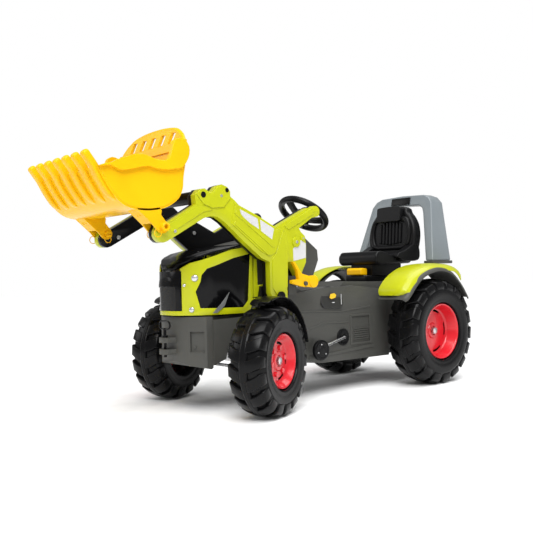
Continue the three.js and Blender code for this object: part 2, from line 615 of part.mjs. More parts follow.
function bucket() {
  const along = [(TIP[0] - HEEL[0]) / 169, (TIP[1] - HEEL[1]) / 169];
  const down = [-along[1], along[0]].map((n) => (along[0] < 0 ? n : -n));
  const off = ([y, z], run, lift) => [y + along[0] * run - down[0] * lift, z + along[1] * run - down[1] * lift];
  const outside = [off(HEEL, 122, 6), off(HEEL, 0, 6), [-338, 552], [-300, 551], [-270, 557], [-243, 573],
    [-226, 597], [-220, 640], [-205, 690], [-206, 735], [-217, 774]];
  const inside = [[-222, 774], [-211, 734], [-210, 691], [-225, 642], [-231, 600], [-247, 577], [-272, 562],
    [-300, 556], [-336, 557], off(HEEL, 2, 11), off(HEEL, 122, 10)];
  const skin = sidePlate([...outside, ...inside], -BUCKET_HALF + 3, BUCKET_HALF - 3);
  const cheek = [off(HEEL, 118, 6), off(HEEL, 0, 6), [-338, 552], [-300, 551], [-270, 557], [-243, 573],
    [-226, 597], [-220, 640], [-203, 690], [-198, 712], [-212, 734], [-246, 728], [-258, 690], [-286, 668],
    [-323, 671], [-392, 652], [-418, 664]];
  const guard = frontPlate([[-200, 600], [-200, 718], [-146, 724], [-118, 742], [-84, 759], [-36, 768], [36, 768],
    [84, 759], [118, 742], [146, 724], [200, 718], [200, 600], [200, 500], [-200, 500]], -600, -100);
  const slots = [-80, -40, 0, 40, 80].map((x) => frontPlate(
    [[x - 12, 716], [x + 2, 716], [x + 11, 752], [x - 3, 752]], -240, -180));
  const finger = (x) => sidePlate([off(HEEL, 169, 0), off(HEEL, 8, 0), off(HEEL, 0, 7), off(HEEL, 165, 12)],
    x - 8, x + 8);
  const fingers = [];
  for (let i = 0; i < FINGERS; i++) {
    fingers.push(finger((i - (FINGERS - 1) / 2) * (2 * (BUCKET_HALF - 9)) / (FINGERS - 1)));
  }
  return join(cut(common(skin, guard), ...slots), sidePlate(cheek, BUCKET_HALF - 5, BUCKET_HALF),
    sidePlate(cheek, -BUCKET_HALF, 5 - BUCKET_HALF), ...fingers);
}
add('bucket', bucket(), 'yellow');

const BRACKET_X = [118, 167];

function bucketBracket() {
  const outline = [[-334, 545], [-326, 549], [-300, 550], [-270, 550], [-256, 530],
    ...arc(TILT_PIVOT, 20, 40, -90, 5), [-292, 478], [-302, 484]];
  const solidPart = sidePlate(outline, ...BRACKET_X);
  const room = sidePlate([[-321, 534], [-262, 540], [-230, 520], [-230, 440], [-300, 460], [-306, 488]],
    ARM_INNER_X - 1.5, ARM_OUTER_X + 1.5);
  const corner = sidePlate([[-304, 400], [-304, 484], [-319, 512], [-200, 546], [-200, 400]],
    ARM_INNER_X - 1.5, ARM_OUTER_X + 1.5);
  return cut(solidPart, room, corner, rodX(TILT_PIN_R + GAP, 100, 180, TILT_PIVOT));
}
addPair('bucket_bracket', bucketBracket(), 'yellow');

function bucketPin() {
  return join(rodX(TILT_PIN_R, 114, 172, TILT_PIVOT), rodX(12, BRACKET_X[1] + GAP, 173, TILT_PIVOT));
}
addPair('bucket_pin', bucketPin(), 'yellow');

// ---- lever that holds the raised arms, on the left of the dash ----------------------------------
function lockLever() {
  const outline = [[149, 413], [158, 412], [184, 378], [208, 372], [228, 368], [228, 338], [206, 338],
    [180, 341], [146, 350], [146, 360], [172, 362], [166, 388]];
  const grip = rodX(18, LEVER_X[0] - 1, LEVER_X[1] + 3, [230, 354], 20);
  return cut(join(sidePlate(outline, ...LEVER_X), grip), rodX(6 + RUN, 150, 190, LEVER_PIVOT, 14));
}
add('lock_lever', lockLever(), 'yellow');

export default tractor;
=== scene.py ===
import json
from math import atan2, cos, degrees, hypot, pi, radians, sin

import bmesh
import bpy
from mathutils import Matrix, Vector


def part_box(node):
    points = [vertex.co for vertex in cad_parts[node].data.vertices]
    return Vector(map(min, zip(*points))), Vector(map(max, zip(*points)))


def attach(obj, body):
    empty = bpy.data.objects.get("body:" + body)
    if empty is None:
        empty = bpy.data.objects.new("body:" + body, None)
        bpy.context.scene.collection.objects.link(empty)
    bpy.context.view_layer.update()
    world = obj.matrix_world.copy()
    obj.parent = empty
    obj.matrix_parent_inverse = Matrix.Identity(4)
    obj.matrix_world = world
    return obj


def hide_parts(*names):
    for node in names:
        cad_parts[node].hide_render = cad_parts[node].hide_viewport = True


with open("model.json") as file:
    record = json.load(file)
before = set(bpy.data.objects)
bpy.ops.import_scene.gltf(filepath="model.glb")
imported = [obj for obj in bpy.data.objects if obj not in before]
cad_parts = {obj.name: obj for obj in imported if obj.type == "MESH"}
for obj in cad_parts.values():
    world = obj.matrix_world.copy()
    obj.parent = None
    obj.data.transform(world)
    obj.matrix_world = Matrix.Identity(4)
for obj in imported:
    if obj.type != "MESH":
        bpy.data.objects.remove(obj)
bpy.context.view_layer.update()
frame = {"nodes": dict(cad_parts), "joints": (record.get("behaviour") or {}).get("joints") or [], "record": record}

# ---- chassis -------------------------------------------------------------------------------------
# The tractor's body is one hollow moulding of matt dark-grey plastic with soft edges. Ribs, a shallow
# crank bay and a small console are moulded into each side of it. Sizes in this file that are given in
# millimetres are measured from the front axle, back along Y and up along Z.
AXLE_Y = sum(corner[1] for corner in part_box("front_axle")) / 2
BODY_OF = {n: body for body, nodes in frame["record"]["behaviour"]["bodies"].items() for n in nodes}


def plastic(name, colour, roughness, grain=0.0, coat=0.0, metallic=0.0, flow=9.0, shine=0.32):
    """A moulded finish: a faint cloudiness of colour and gloss, and a fine grain where it is matt."""
    material = bpy.data.materials.new(name)
    material.use_nodes = True
    nodes, links = material.node_tree.nodes, material.node_tree.links
    shader = nodes["Principled BSDF"]
    shader.inputs["Metallic"].default_value = metallic
    shader.inputs["Coat Weight"].default_value = coat
    shader.inputs["Specular IOR Level"].default_value = shine
    shader.inputs["Coat Roughness"].default_value = 0.12
    place = nodes.new("ShaderNodeTexCoord")
    cloud = nodes.new("ShaderNodeTexNoise")
    cloud.inputs["Scale"].default_value = flow
    cloud.inputs["Detail"].default_value = 4.0
    links.new(place.outputs["Object"], cloud.inputs["Vector"])
    tint = nodes.new("ShaderNodeValToRGB")
    tint.color_ramp.elements[0].position = 0.3
    tint.color_ramp.elements[1].position = 0.7
    tint.color_ramp.elements[0].color = (*[c * 0.9 for c in colour], 1)
    tint.color_ramp.elements[1].color = (*colour, 1)
    links.new(cloud.outputs["Fac"], tint.inputs["Fac"])
    links.new(tint.outputs["Color"], shader.inputs["Base Color"])
    gloss = nodes.new("ShaderNodeMapRange")
    gloss.inputs["To Min"].default_value = roughness * 0.85
    gloss.inputs["To Max"].default_value = roughness * 1.15
    links.new(cloud.outputs["Fac"], gloss.inputs["Value"])
    links.new(gloss.outputs["Result"], shader.inputs["Roughness"])
    if grain:
        pores = nodes.new("ShaderNodeTexNoise")
        pores.inputs["Scale"].default_value = 650.0
        bump = nodes.new("ShaderNodeBump")
        bump.inputs["Strength"].default_value = grain
        bump.inputs["Distance"].default_value = 0.0006
        links.new(place.outputs["Object"], pores.inputs["Vector"])
        links.new(pores.outputs["Fac"], bump.inputs["Height"])
        links.new(bump.outputs["Normal"], shader.inputs["Normal"])
    return material


def finished(name, mesh, material, body, edge=0.0, steps=2, stands_for=(), crease=32):
    """Makes an object of a bmesh, rounds its edges, and gives it to a body of the machine."""
    data = bpy.data.meshes.new(name)
    mesh.to_mesh(data)
    mesh.free()
    data.shade_smooth()
    obj = bpy.data.objects.new(name, data)
    bpy.context.scene.collection.objects.link(obj)
    data.materials.append(material)
    if edge:
        rounding = obj.modifiers.new("moulded edges", "BEVEL")
        rounding.width = edge
        rounding.segments = steps
        rounding.limit_method = "ANGLE"
        rounding.angle_limit = radians(crease)
        rounding.harden_normals = True
    else:
        data.set_sharp_from_angle(angle=radians(crease))
    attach(obj, body)
    if stands_for:
        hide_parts(*stands_for)
    return obj


def solid_of(node):
    """A merged copy of a CAD node's mesh, with its flat faces whole again."""
    mesh = bmesh.new()
    mesh.from_mesh(frame["nodes"][node].data)
    bmesh.ops.remove_doubles(mesh, verts=mesh.verts, dist=2e-5)
    bmesh.ops.dissolve_limit(mesh, angle_limit=0.02, verts=mesh.verts, edges=mesh.edges)
    return mesh


def moulded(node, material, edge, steps=2, crease=32):
    """A CAD node with its edges rounded as the mould left them."""
    return finished(f"{node}_moulding", solid_of(node), material, BODY_OF[node], edge,
                    steps, (node,), crease)


def plate(outline, x0, x1, holes=()):
    """A flat plate seen from the side: its outline and holes in mm, from x0 to x1 in mm."""
    mesh = bmesh.new()
    edges = []
    for loop in (outline, *holes):
        ring = [mesh.verts.new((x0 / 1000, AXLE_Y + y / 1000, z / 1000)) for y, z in loop]
        edges += [mesh.edges.new(pair) for pair in zip(ring, ring[1:] + ring[:1])]
    bmesh.ops.triangle_fill(mesh, edges=edges, use_beauty=True)
    bmesh.ops.dissolve_limit(mesh, angle_limit=0.01, verts=mesh.verts, edges=mesh.edges)
    made = bmesh.ops.extrude_face_region(mesh, geom=mesh.faces[:])["geom"]
    across = Vector(((x1 - x0) / 1000, 0, 0))
    bmesh.ops.translate(mesh, verts=[v for v in made if isinstance(v, bmesh.types.BMVert)], vec=across)
    bmesh.ops.recalc_face_normals(mesh, faces=mesh.faces)
    return mesh


def block(x, y, z):
    """A box between two values of x, y and z in mm."""
    return plate([(y[0], z[0]), (y[1], z[0]), (y[1], z[1]), (y[0], z[1])], x[0], x[1])


def join(*meshes):
    """Puts several bmeshes into the first one."""
    whole = meshes[0]
    for other in meshes[1:]:
        data = bpy.data.meshes.new("joined")
        other.to_mesh(data)
        other.free()
        whole.from_mesh(data)
        bpy.data.meshes.remove(data)
    return whole


def mirrored(mesh, side):
    """The bmesh as it is for side 1, or its mirror image across the machine's middle for side -1."""
    if side < 0:
        bmesh.ops.scale(mesh, vec=(-1, 1, 1), verts=mesh.verts)
        bmesh.ops.reverse_faces(mesh, faces=mesh.faces)
    return mesh


SIDES = (("left", 1), ("right", -1))
chassis_grey = plastic("chassis grey", (0.062, 0.062, 0.056), 0.46, grain=0.22)
console_grey = plastic("console grey", (0.026, 0.026, 0.026), 0.42, grain=0.2)
moulded("chassis", chassis_grey, 0.005, 3)
WALL = 114  # the chassis' flat side
for side, sign in SIDES:
    ribs = [block((111.5, 114.6), (468, 543), (z, z + 4)) for z in (160, 167, 174, 181, 188, 195)]
    lip = plate([(450, 145), (550, 145), (550, 243), (450, 243)], WALL, WALL + 3.5,
                [[(457, 152), (543, 152), (543, 236), (457, 236)]])
    skirt = plate([(262, 116), (560, 131), (560, 141), (262, 126)], WALL, WALL + 4)
    seam = plate([(222, 262), (410, 252), (548, 262), (548, 267), (410, 258), (222, 268)], WALL, WALL + 3)
    crease = plate([(240, 205), (330, 226), (445, 222), (445, 217), (330, 220), (240, 199)],
                   WALL, WALL + 2.6)
    finished(f"chassis_ribs_{side}", mirrored(join(*ribs, lip, skirt, seam, crease), sign),
             chassis_grey, "chassis", 0.0012)
    console = plate([(318, 280), (328, 270), (402, 264), (412, 272), (425, 320), (358, 338), (322, 330)], 104,
                    122)
    for v in console.verts:
        v.co.x -= 0.012 if v.co.x > 0.12 and v.co.z > 0.315 else 0
    finished(f"side_console_{side}", mirrored(console, sign), console_grey, "chassis", 0.004, 3)

sticker_white = plastic("white sticker", (0.60, 0.60, 0.61), 0.35)
icon_yellow = plastic("yellow sticker", (0.86, 0.52, 0.02), 0.32)
icon = plate([(352, 300), (360, 296), (378, 300), (382, 308), (374, 314), (356, 312)], 121.8, 122.5)
finished("console_icon", icon, icon_yellow, "chassis", 0.0003, 1)
marks = join(block((121.8, 122.4), (403, 405.5), (278, 310)), block((121.8, 122.4), (362, 374), (284, 286.5)))
finished("console_marks", marks, sticker_white, "chassis", 0.0002, 1)

# ---- front weight --------------------------------------------------------------------------------
# The nose weight is moulded in the same grey plastic as the chassis. It carries two prongs with a black
# tow pin through them, and a square recess is sunk into each slanted cheek.


def all_of(mesh):
    """Every vertex, edge and face of a bmesh."""
    return mesh.verts[:] + mesh.edges[:] + mesh.faces[:]


def at(y, z, x=0):
    """The move from the axle frame's origin to a place in mm."""
    return Matrix.Translation((x / 1000, AXLE_Y + y / 1000, z / 1000))


weight = solid_of("front_weight")
for level in (0.172, 0.228):
    bmesh.ops.bisect_plane(weight, geom=all_of(weight), plane_co=(0, 0, level), plane_no=(0, 0, 1))
for column in (-0.104, -0.070, 0.070, 0.104):
    bmesh.ops.bisect_plane(weight, geom=all_of(weight), plane_co=(column, 0, 0), plane_no=(1, 0, 0))
recess = [f for f in weight.faces if 0.175 < f.calc_center_median().z < 0.225
          and 0.071 < abs(f.calc_center_median().x) < 0.103 and f.normal.y < -0.3]
bmesh.ops.inset_individual(weight, faces=recess, thickness=0.003, depth=-0.007)
finished("front_weight_moulding", weight, chassis_grey, "chassis", 0.006, 3, ("front_weight",))
for side, sign in SIDES:
    bolt = bmesh.new()
    bmesh.ops.create_cone(bolt, cap_ends=True, segments=16, radius1=0.004, radius2=0.003, depth=0.003)
    cheek_turn = Matrix.Rotation(radians(34.3), 4, "Z") @ Matrix.Rotation(pi / 2, 4, "X")
    bmesh.ops.transform(bolt, verts=bolt.verts, matrix=at(-129.5, 186, 79) @ cheek_turn)
    finished(f"weight_bolt_{side}", mirrored(bolt, sign), chassis_grey, "chassis", 0.0006)
satin_black = plastic("satin black", (0.005, 0.005, 0.0055), 0.3, grain=0.1, shine=0.16)
moulded("coupling_pin", satin_black, 0.0006)

# ---- bonnet --------------------------------------------------------------------------------------
# The bonnet is a lime-green frame with glossy black panels let into its sides, a glossy black top and a
# dark slatted grille. Silver lamp buttons sit at its front corners, and a plain grey slash crosses each
# panel.
lime = plastic("lime green", (0.465, 0.495, 0.005), 0.3, coat=0.1, shine=0.3)
gloss_black = plastic("gloss black", (0.003, 0.003, 0.0035), 0.14, shine=0.16)
lamp_silver = plastic("lamp silver", (0.62, 0.63, 0.65), 0.25, metallic=0.75)
slash_grey = plastic("slash grey", (0.16, 0.165, 0.165), 0.3)
moulded("bonnet_frame", lime, 0.003, 3)
moulded("bonnet_top", gloss_black, 0.006, 4, 14)
moulded("grille", gloss_black, 0.003, 2)
for side in ("left", "right"):
    moulded(f"bonnet_panel_{side}", gloss_black, 0.003, 3)

bonnet_line = [(-60, 452), (-92, 445), (-120, 435), (-140, 421), (-155, 402), (-163, 380), (-166, 364),
               (-167, 350)]
bonnet_half = [104, 100, 88, 72, 58, 53, 52, 52]
nose = bmesh.new()
bmesh.ops.create_grid(nose, x_segments=24, y_segments=28, size=1)
for v in nose.verts:
    k = min(int((v.co.y + 1) * 3.5), 6)
    t = (v.co.y + 1) * 3.5 - k
    y, z = [a + (b - a) * t for a, b in zip(bonnet_line[k], bonnet_line[k + 1])]
    x = v.co.x * (bonnet_half[k] + (bonnet_half[k + 1] - bonnet_half[k]) * t)
    bow = 0.0066 * max(abs(x) - 10, 0) ** 2 * min(1.0, (k + t) / 4.0)
    v.co = Vector((x / 1000, AXLE_Y + (y + bow - 1.5) / 1000, (z - 2.5 * abs(v.co.x) ** 4) / 1000))
bmesh.ops.smooth_vert(nose, verts=nose.verts, factor=0.5, use_axis_x=False, use_axis_y=True, use_axis_z=True)
bmesh.ops.recalc_face_normals(nose, faces=nose.faces)
bmesh.ops.solidify(nose, geom=nose.faces[:], thickness=0.0025)
finished("bonnet_nose", nose, gloss_black, "bonnet", 0.0008, 2, crease=50)


def nose_strip(depth, half, z0, z1, thick):
    """A strip bent round the nose, standing out from it by depth, between two heights; all in mm."""
    mesh = bmesh.new()
    corners = [(-half, -165 + (half - 24) * 0.39), (-24, -165), (24, -165), (half, -165 + (half - 24) * 0.39)]
    ring = [mesh.verts.new((x / 1000, AXLE_Y + (y - depth) / 1000, z0 / 1000)) for x, y in corners]
    ring += [mesh.verts.new((x / 1000, AXLE_Y + (y - depth + thick) / 1000, z0 / 1000))
             for x, y in reversed(corners)]
    face = mesh.faces.new(ring)
    made = bmesh.ops.extrude_face_region(mesh, geom=[face])["geom"]
    bmesh.ops.translate(mesh, verts=[v for v in made if isinstance(v, bmesh.types.BMVert)],
                        vec=(0, 0, (z1 - z0) / 1000))
    bmesh.ops.recalc_face_normals(mesh, faces=mesh.faces)
    return mesh


grille_grey = plastic("grille grey", (0.016, 0.016, 0.016), 0.5, grain=0.2, shine=0.25)
slats = [nose_strip(1.4, 34, z, z + 2.6, 3) for z in range(290, 350, 5)]
finished("grille_slats", join(*slats), grille_grey, "bonnet", 0.0005, 1)
finished("grille_backing", nose_strip(0.6, 36, 287, 352, 3), grille_grey, "bonnet", 0.0005, 1)

for side, sign in SIDES:
    lamps = []
    for x, y, z, radius in ((84, -129, 373, 9.5), (77, -136.5, 287.5, 7.5), (62, -149, 354, 4.5)):
        corner_angle = radians(47 if x > 80 else 38)
        turn = at(y, z, x) @ Matrix.Rotation(corner_angle, 4, "Z") @ Matrix.Rotation(pi / 2, 4, "X")
        button = bmesh.new()
        bmesh.ops.create_uvsphere(button, u_segments=24, v_segments=12, radius=radius / 1000,
                                  matrix=turn @ Matrix.Diagonal((1, 1, 0.42, 1)))
        lamps.append(button)
    finished(f"lamps_{side}", mirrored(join(*lamps), sign), lamp_silver, "bonnet", crease=60)
    slash = plate([(-96, 277), (-80, 277), (-54, 295), (-36, 333), (-66, 302)], 115.6, 116.9)
    finished(f"panel_slash_{side}", mirrored(slash, sign), slash_grey, "bonnet", 0.0003, 1)

# ---- dash cowl and steering ----------------------------------------------------------------------
# The cowl behind the bonnet is grey plastic. The black steering wheel has three spokes and stands on a
# steel rod that leans back towards the seat.
moulded("dash_cowl", chassis_grey, 0.006, 3)
for side, sign in SIDES:
    apron = plate([(54, 292), (99, 292), (99, 350), (69, 348), (67, 440), (57, 440), (52, 330)], 100, 114)
    finished(f"bonnet_apron_{side}", mirrored(apron, sign), lime, "chassis", 0.002, 2)
steel = plastic("zinc-plated steel", (0.62, 0.62, 0.63), 0.28, metallic=0.9, flow=40.0)
moulded("steering_shaft", steel, 0.0015)
joints = {joint["name"]: joint for joint in frame["joints"]}
column_turn = Vector(joints["steer_wheel"]["axis"]).to_track_quat("Z", "Y").to_matrix().to_4x4()
WHEEL_PLACE = Matrix.Translation(joints["steer_wheel"]["pos_m"]) @ column_turn


def lathe(profile, place, steps=48, closed=True):
    """Spins a profile of (along, radius) pairs in mm about the X axis, then puts it in its place."""
    mesh = bmesh.new()
    points = [mesh.verts.new((along / 1000, 0, radius / 1000)) for along, radius in profile]
    pairs = list(zip(points, points[1:]))
    if closed:
        pairs.append((points[-1], points[0]))
    edges = [mesh.edges.new(pair) for pair in pairs]
    bmesh.ops.spin(mesh, geom=points + edges, cent=(0, 0, 0), axis=(1, 0, 0), angle=2 * pi, steps=steps,
                   use_merge=True)
    bmesh.ops.remove_doubles(mesh, verts=mesh.verts, dist=1e-6)
    bmesh.ops.recalc_face_normals(mesh, faces=mesh.faces)
    bmesh.ops.transform(mesh, verts=mesh.verts, matrix=place)
    return mesh


def sliced_bar(cuts):
    """A cube of size 1 with that many cuts across its length, which lies along X."""
    mesh = bmesh.new()
    bmesh.ops.create_cube(mesh, size=1)
    lengthwise = [e for e in mesh.edges if abs(e.verts[0].co.x - e.verts[1].co.x) > 0.5]
    bmesh.ops.subdivide_edges(mesh, edges=lengthwise, cuts=cuts)
    return mesh


UPRIGHT = Matrix.Rotation(-pi / 2, 4, "Y")
ring = [(11 * cos(radians(a)), 77.5 + 10.5 * sin(radians(a))) for a in range(0, 360, 20)]
wheel = lathe(ring, WHEEL_PLACE @ UPRIGHT, 64)
hub = lathe([(-46, 0.0), (-46, 17), (-30, 19), (-25, 29), (-10, 30), (-5, 24), (-4, 0.0)],
            WHEEL_PLACE @ UPRIGHT, 40,
            False)
arms = []
for turn in (90, 210, 330):
    spoke = sliced_bar(6)
    for v in spoke.verts:
        along = v.co.x + 0.5
        wide = 0.027 - 0.006 * sin(pi * along)
        v.co = Vector((0.014 + 0.062 * along, v.co.y * wide, -0.016 + 0.014 * along ** 2 + v.co.z * 0.013))
    bmesh.ops.transform(spoke, verts=spoke.verts, matrix=WHEEL_PLACE @ Matrix.Rotation(radians(turn), 4, "Z"))
    arms.append(spoke)
finished("steering_wheel_ring", join(wheel, hub, *arms), satin_black, "steering", 0.0018, 2,
         ("steering_wheel",))

# ---- front axle, knuckles and mudguards ----------------------------------------------------------
# A steel beam carries a knuckle at each end, and a rod joins the knuckles. Black plastic mudguards
# stand on the knuckles and turn with the wheels.
moulded("front_axle", steel, 0.002)
moulded("tie_rod", steel, 0.001)


def arched(line, section, thick, tips=0.0, deeper=0.0, pivot=30):
    """A sheet along a line of (y, z) points whose (x, drop) section droops at its outer edge; in mm."""
    mesh = bmesh.new()
    last = len(line) - 1
    bmesh.ops.create_grid(mesh, x_segments=18, y_segments=last, size=1)
    for v in mesh.verts:
        k = round((v.co.y + 1) / 2 * last)
        before, after = Vector(line[max(k - 1, 0)]), Vector(line[min(k + 1, last)])
        out = Vector((before.y - after.y, after.x - before.x)).normalized()
        across = (v.co.x + 1) / 2 * (len(section) - 1)
        a = min(int(across), len(section) - 2)
        x, drop = [p + (q - p) * (across - a) for p, q in zip(section[a], section[a + 1])]
        near = min(1.0, k / last / 0.16 + 0.05)
        squeeze = 1 - tips * (1 - (1 - (1 - near) ** 2) ** 0.5)
        x = section[0][0] + pivot + (x - section[0][0] - pivot) * squeeze
        y, z = line[k]
        drop *= 1 + deeper * max(0.0, k / last - 0.8) / 0.2
        v.co = Vector((x / 1000, AXLE_Y + (y - out.x * drop) / 1000, (z - out.y * drop) / 1000))
    bmesh.ops.recalc_face_normals(mesh, faces=mesh.faces)
    bmesh.ops.solidify(mesh, geom=mesh.faces[:], thickness=thick / 1000)
    return mesh


guard_black = plastic("mudguard black", (0.005, 0.005, 0.0055), 0.26, shine=0.18)
for side in ("left", "right"):
    moulded(f"knuckle_{side}", steel, 0.001)
    wheel = joints[f"roll_front_{side}"]
    turn = Matrix.Rotation(atan2(wheel["axis"][1], wheel["axis"][0]), 4, "Z")
    guard = solid_of(f"front_fender_{side}")
    bmesh.ops.bisect_plane(guard, geom=all_of(guard), clear_outer=True,
                           plane_co=Vector(wheel["pos_m"]) + turn @ Vector((-0.038 * sign, -0.048, 0)),
                           plane_no=turn @ Vector((0.052 * sign, -0.078, 0)))
    bmesh.ops.holes_fill(guard, edges=guard.edges[:])
    finished(f"front_fender_{side}_cut", guard, guard_black, BODY_OF[f"front_fender_{side}"], 0.0012,
             2,
             (f"front_fender_{side}",))
    bend = [(171.5 * sin(radians(a)), 148 + 171.5 * cos(radians(a))) for a in range(-22, 78, 4)]
    cover = arched(bend, [(-38, 0), (0, -1), (22, 1), (33, 6), (40, 14)], 2.4, 0.8, 0, 4)
    mirrored(cover, sign)
    bmesh.ops.transform(cover, verts=cover.verts, matrix=Matrix.Translation(wheel["pos_m"]) @ turn
                        @ Matrix.Translation((0, -AXLE_Y, -wheel["pos_m"][2])))
    finished(f"front_fender_{side}_cover", cover, guard_black, BODY_OF[f"front_fender_{side}"],
             crease=50)

# ---- wheels --------------------------------------------------------------------------------------
# The tyres are blown from hard black plastic. A ridge runs round the middle of the tread and slanting
# lugs meet it from both sides and wrap over the shoulder. The red rims are deep dishes with curved
# slots, and zinc-plated nuts hold them.
tyre_black = plastic("tyre black", (0.0048, 0.0048, 0.0052), 0.25, shine=0.14)
rim_red = plastic("rim red", (0.62, 0.012, 0.022), 0.25, coat=0.4)
LUG_DEPTH = 9.0


def softened(mesh, width):
    """Rounds every sharp edge of a bmesh by that width in metres."""
    bmesh.ops.recalc_face_normals(mesh, faces=mesh.faces)
    sharp = [e for e in mesh.edges if e.calc_face_angle(0) > radians(40)]
    bmesh.ops.bevel(mesh, geom=sharp, offset=width, offset_type="OFFSET", segments=3, profile=0.5,
                    affect="EDGES", material=-1, clamp_overlap=True)
    return mesh


def lug(radius, half, sweep, width):
    """One tread lug beside the ridge on the outer side, at the top of the tyre; all in mm."""
    mesh = sliced_bar(9)
    for v in mesh.verts:
        along, across, upper = v.co.x + 0.5, v.co.y, v.co.z > 0
        crown = min(along / 0.62, 1.0)
        over = max(0.0, along - 0.62) / 0.38
        x = 6 + (half - 16) * crown + 9.5 * sin(over * pi / 2)
        top = radius - 7.5 * crown ** 2.2 - 25 * (1 - cos(over * pi / 2))
        bottom = radius - LUG_DEPTH - 3 - 5 * crown ** 2 - 25 * over
        spread = width * (0.5 if upper else 0.6) * (1 + 0.12 * along) / radius
        turn = sweep * (0.3 * crown + 0.7 * crown ** 2.2) + across * 2 * spread
        reach = top if upper else bottom
        inward = 0 if upper else 4.5 * over
        v.co = Vector(((x - inward) / 1000, reach * sin(turn) / 1000, reach * cos(turn) / 1000))
    return softened(mesh, 0.0026)


def tyre(radius, half, seat, count, sweep, width):
    """A whole tyre about the X axis, with its outer side towards +X; all in mm."""
    tread = radius - LUG_DEPTH
    wall = [(half - 9, seat), (half - 4, seat + 2), (half - 2, seat + 7), (half - 2.6, seat + 11),
            (half - 0.6, seat + 17), (half, tread * 0.8), (half - 1.2, tread - 27), (half - 2.6, tread - 25),
            (half - 5.5, tread - 16), (half - 10, tread - 9), (half - 17, tread - 4.5),
            (half - 30, tread - 1), (13, tread + 0.2), (11, tread + 5.0), (8.6, tread + 8.0),
            (3.0, tread + 9.2), (1.0, tread + 8.8)]
    whole = lathe(wall + [(-x, r) for x, r in reversed(wall)], Matrix(), 96)
    for outward in (1, -1):
        bars = lug(radius, half, sweep, width)
        bmesh.ops.spin(bars, geom=all_of(bars), cent=(0, 0, 0), axis=(1, 0, 0),
                       angle=2 * pi * (count - 1) / count, steps=count - 1, use_duplicate=True)
        shift = 0 if outward > 0 else pi / count
        bmesh.ops.rotate(bars, verts=bars.verts, cent=(0, 0, 0), matrix=Matrix.Rotation(shift, 3, "X"))
        join(whole, mirrored(bars, outward))
    return whole


def rim(edge, flange, face, disc_radius, slots, bosses):
    """A dished rim about the X axis: a flange, a sloping barrel and a slotted disc; all in mm."""
    profile = [(edge - 12, flange - 1.5), (edge - 3, flange - 0.5), (edge, flange - 2.5),
               (edge - 1, flange - 6), (edge - 4, flange - 8), (face + 6, disc_radius + 5),
               (face + 1, disc_radius + 1), (face, disc_radius - 2), (face, disc_radius - 9),
               (face + 0.5, disc_radius * 0.62), (face + 1, 27), (face + 4.5, 24), (face + 5, 16),
               (face + 1, 13), (face + 1, 7.6)]
    dish = lathe(profile, Matrix(), 90, False)
    cut = []
    for f in dish.faces:
        middle = f.calc_center_median()
        distance = hypot(middle.y, middle.z) * 1000
        angle = degrees(atan2(middle.y, middle.z)) % (360 / slots)
        if disc_radius - 8 < distance < disc_radius - 2.5 and 10 < angle < 10 + 0.46 * 360 / slots:
            cut.append(f)
    bmesh.ops.delete(dish, geom=cut, context="FACES")
    bmesh.ops.solidify(dish, geom=dish.faces[:], thickness=0.0028)
    bmesh.ops.recalc_face_normals(dish, faces=dish.faces)
    studs = []
    for k in range(bosses):
        stud = bmesh.new()
        turn = Matrix.Rotation(2 * pi * (k + 0.5) / bosses, 4, "X") @ Matrix.Translation(
            (face / 1000 + 0.001, 0, 0.036)) @ Matrix.Rotation(pi / 2, 4, "Y")
        bmesh.ops.create_cone(stud, cap_ends=True, segments=20, radius1=0.0085, radius2=0.0065, depth=0.009,
                              matrix=turn)
        studs.append(stud)
    return join(dish, *studs)


def nut(face):
    """A wheel nut on a washer at the end of its axle, about the X axis; face in mm."""
    washer = lathe([(face, 0.0), (face, 8.5), (face + 1.4, 8.5), (face + 1.4, 0.0)], Matrix(), 24, False)
    hexagon = lathe([(face + 1.4, 0.0), (face + 1.4, 6.8), (face + 5.5, 6.8), (face + 6.5, 5.5),
                     (face + 6.5, 0.0)], Matrix(), 6, False)
    end = lathe([(face + 6, 0.0), (face + 6, 3.6), (face + 9, 3.0), (face + 9, 0.0)], Matrix(), 16, False)
    return join(washer, hexagon, end)


WHEELS = (
    ("front_%s", "roll_front_%s", 148.0, 52.0, 74.0, 18, 31, (44, 74.0, 25.0, 54, 5, 6)),
    ("rear_%s", None, 175.0, 56.0, 93.0, 18, 38, (48, 92.5, 7.0, 74, 5, 0)),
)
for label, joint_name, radius, half, seat, count, width, dish in WHEELS:
    for side, sign in SIDES:
        tyre_node, rim_node = label % "tyre_" + side, label % "rim_" + side
        if joint_name:
            middle = Vector(joints[joint_name % side]["pos_m"])
            heading = Vector(joints[joint_name % side]["axis"])
        else:
            low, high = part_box(tyre_node)
            middle = Vector([(a + b) / 2 for a, b in zip(low, high)])
            heading = Vector((1, 0, 0))
        steer = Matrix.Rotation(atan2(heading.y, heading.x), 4, "Z")
        place = Matrix.Translation(middle) @ steer
        flat = Matrix.Rotation(pi / count, 4, "X")
        for name, mesh, material, slot, node, edge in (
            (tyre_node, tyre(radius, half, seat + 1.5, count, 0.10, width), tyre_black, "tyre", tyre_node, 0),
            (rim_node, rim(*dish), rim_red, "red", rim_node, 0.0006),
        ):
            bmesh.ops.transform(mesh, verts=mesh.verts, matrix=flat)
            mirrored(mesh, sign)
            bmesh.ops.transform(mesh, verts=mesh.verts, matrix=place)
            finished(name + "_wheel", mesh, material, BODY_OF[node], edge, 2, (node,), 40)
        if joint_name:
            cap = nut(dish[2] - 1)
            bmesh.ops.transform(cap, verts=mirrored(cap, sign).verts, matrix=place)
            finished(f"front_nut_{side}", cap, steel, BODY_OF[rim_node], 0.0004, 1)

